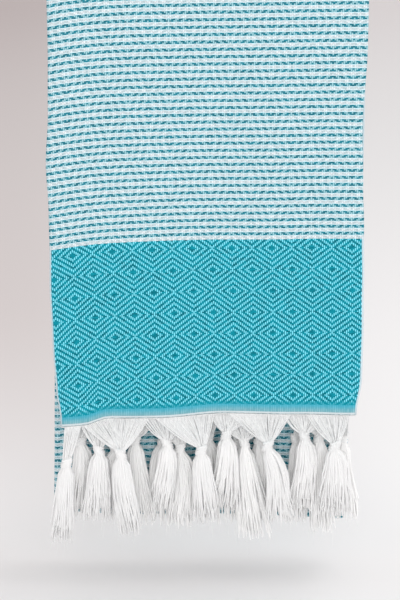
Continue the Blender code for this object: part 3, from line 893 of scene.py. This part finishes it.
def fringe_curve(name):
    """An empty curve whose splines are the threads of a fringe."""
    curve = bpy.data.curves.new(name, "CURVE")
    curve.dimensions = "3D"
    curve.bevel_depth = 1.0
    curve.bevel_resolution = 0
    curve.use_fill_caps = True
    return curve


def fringe_object(curve, name, node):
    """Turn a fringe's threads into one piece that stands for its CAD node."""
    threads = bpy.data.objects.new(name + "_threads", curve)
    mesh = bpy.data.meshes.new_from_object(threads)
    mesh.name = name
    bpy.data.objects.remove(threads)
    mesh.materials.clear()
    mesh.materials.append(cotton_yarn)
    mesh.shade_smooth()
    made = bpy.data.objects.new(name, mesh)
    bpy.context.scene.collection.objects.link(made)
    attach(made, "root")
    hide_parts(node)
    return made


cotton_yarn, tree, shader = new_material("cotton_yarn")
in_space = tree.nodes.new("ShaderNodeTexCoord")
yarn_spot = tree.nodes.new("ShaderNodeSeparateXYZ")
tree.links.new(in_space.outputs["Object"], yarn_spot.inputs["Vector"])
fibre = calc(tree, "ADD", yarn_spot.outputs["X"], yarn_spot.outputs["Y"])
fibre = calc(tree, "MULTIPLY", fibre, FIBRES_IN_A_METRE)
fibre_tone = yarn_tone(tree, yarn_spot.outputs["Z"], fibre)
# Painted light and shade: yarn is painted darker above LOOSE_Z, where it is tied, and lighter below.
loose = fade(tree, yarn_spot.outputs["Z"], *LOOSE_Z)
tied_yarn_in_painted_shade = blend(tree, fibre_tone, TIED_YARN_PAINTED_DARKER, SHADED_TIED_YARN)
loose_yarn_painted_light_and_shade = blend(tree, fibre_tone, LOOSE_YARN_PAINTED_LIGHTER, SHADED_LOOSE_YARN)
# Painted shade on the front rows of loose yarn.
front_rows_shade_mask = fade(tree, yarn_spot.outputs["Y"], *FRONT_ROWS_Y)
loose_yarn_painted_light_and_shade = blend(tree, front_rows_shade_mask, loose_yarn_painted_light_and_shade, FRONT_ROWS_PAINTED_SHADE, "MULTIPLY")
yarn_colour = blend(tree, loose, tied_yarn_in_painted_shade, loose_yarn_painted_light_and_shade)
shader.inputs["Sheen Weight"].default_value = FIBRE_SHEEN
finish_cotton(tree, shader, yarn_colour, fibre_tone, FIBRE_RELIEF, FIBRE_BUMP)


def hung(x, row_y, z):
    """A point of a tassel, swayed with the cloth above it."""
    return Vector((x, row_y + sway(x, z), z))


chance = random.Random(TASSEL_SEED)
front_curve = fringe_curve("front_fringe_threads")
hem_line = [place(-hem_droop(layer, x) - BELOW_HEM - HEM_CORD, x, n)
            for _, x, n, layer in stations]
spin_yarn(front_curve, hem_line, [HEM_CORD] * len(hem_line))
for layer, left, right, knot_x, knot_drop, tip_x, tip_drop, width in FRONT_TASSELS:
    knot = hung(knot_x, ROW_Y[layer], -FRONT_DROP - knot_drop)
    tip = hung(tip_x, ROW_Y[layer], -FRONT_DROP - tip_drop)
    count = max(round((right - left) / WARP_PITCH), FAN_LEAST)
    roots = []
    for index in range(count):
        x = mix(left, right, (index + 0.5) / count)
        roots.append(place(-hem_droop(layer, x) - BELOW_HEM, x, LEVEL[layer] * LAYER_STEP))
    tie_tassel(front_curve, roots, knot, tip, width, KNOT_DEPTH, SKIRT_THREADS, chance)
front_fringe = fringe_object(front_curve, "towel_front_fringe", "front_fringe")


# The inner fringe. The other end of the warp, tied in the same way, hangs inside between
# the front and the back, where its tassels are thinner and in plain rows.
INNER_ROW_Y = {"rear": -0.0118, "third": -0.0056, "second": 0.0002, "face": 0.0058}
INNER_ROWS = (
    # layer, tassels, first x
    ("rear", 5, -0.098),
    ("third", 4, -0.080),
    ("second", 4, -0.068),
    ("face", 5, -0.094),
)
INNER_PITCH = 0.048
INNER_FAN = 0.032
INNER_ENDS = round(INNER_FAN / WARP_PITCH)
INNER_KNOT_DROP = 0.028
INNER_TIP_DROP = 0.092
INNER_KNOT_DEPTH = 0.0048
INNER_WIDTH = 0.0235
INNER_THREADS = SKIRT_THREADS // 2

inner_curve = fringe_curve("inner_fringe_threads")
hem_line = [place(CLOTH_LENGTH + BELOW_HEM + HEM_CORD, x, n) for _, x, n, _ in stations]
spin_yarn(inner_curve, hem_line, [HEM_CORD] * len(hem_line))
hem_z = path(CLOTH_LENGTH)[1]
for layer, tassels, first_x in INNER_ROWS:
    for index in range(tassels):
        x = first_x + index * INNER_PITCH
        knot = hung(x, INNER_ROW_Y[layer], hem_z - INNER_KNOT_DROP)
        tip = hung(x, INNER_ROW_Y[layer], hem_z - INNER_TIP_DROP)
        roots = []
        for at in range(INNER_ENDS):
            root_x = x + INNER_FAN * ((at + 0.5) / INNER_ENDS - 0.5)
            roots.append(place(CLOTH_LENGTH + BELOW_HEM, root_x, LEVEL[layer] * LAYER_STEP))
        tie_tassel(inner_curve, roots, knot, tip, INNER_WIDTH, INNER_KNOT_DEPTH, INNER_THREADS, chance)
inner_fringe = fringe_object(inner_curve, "towel_inner_fringe", "inner_fringe")
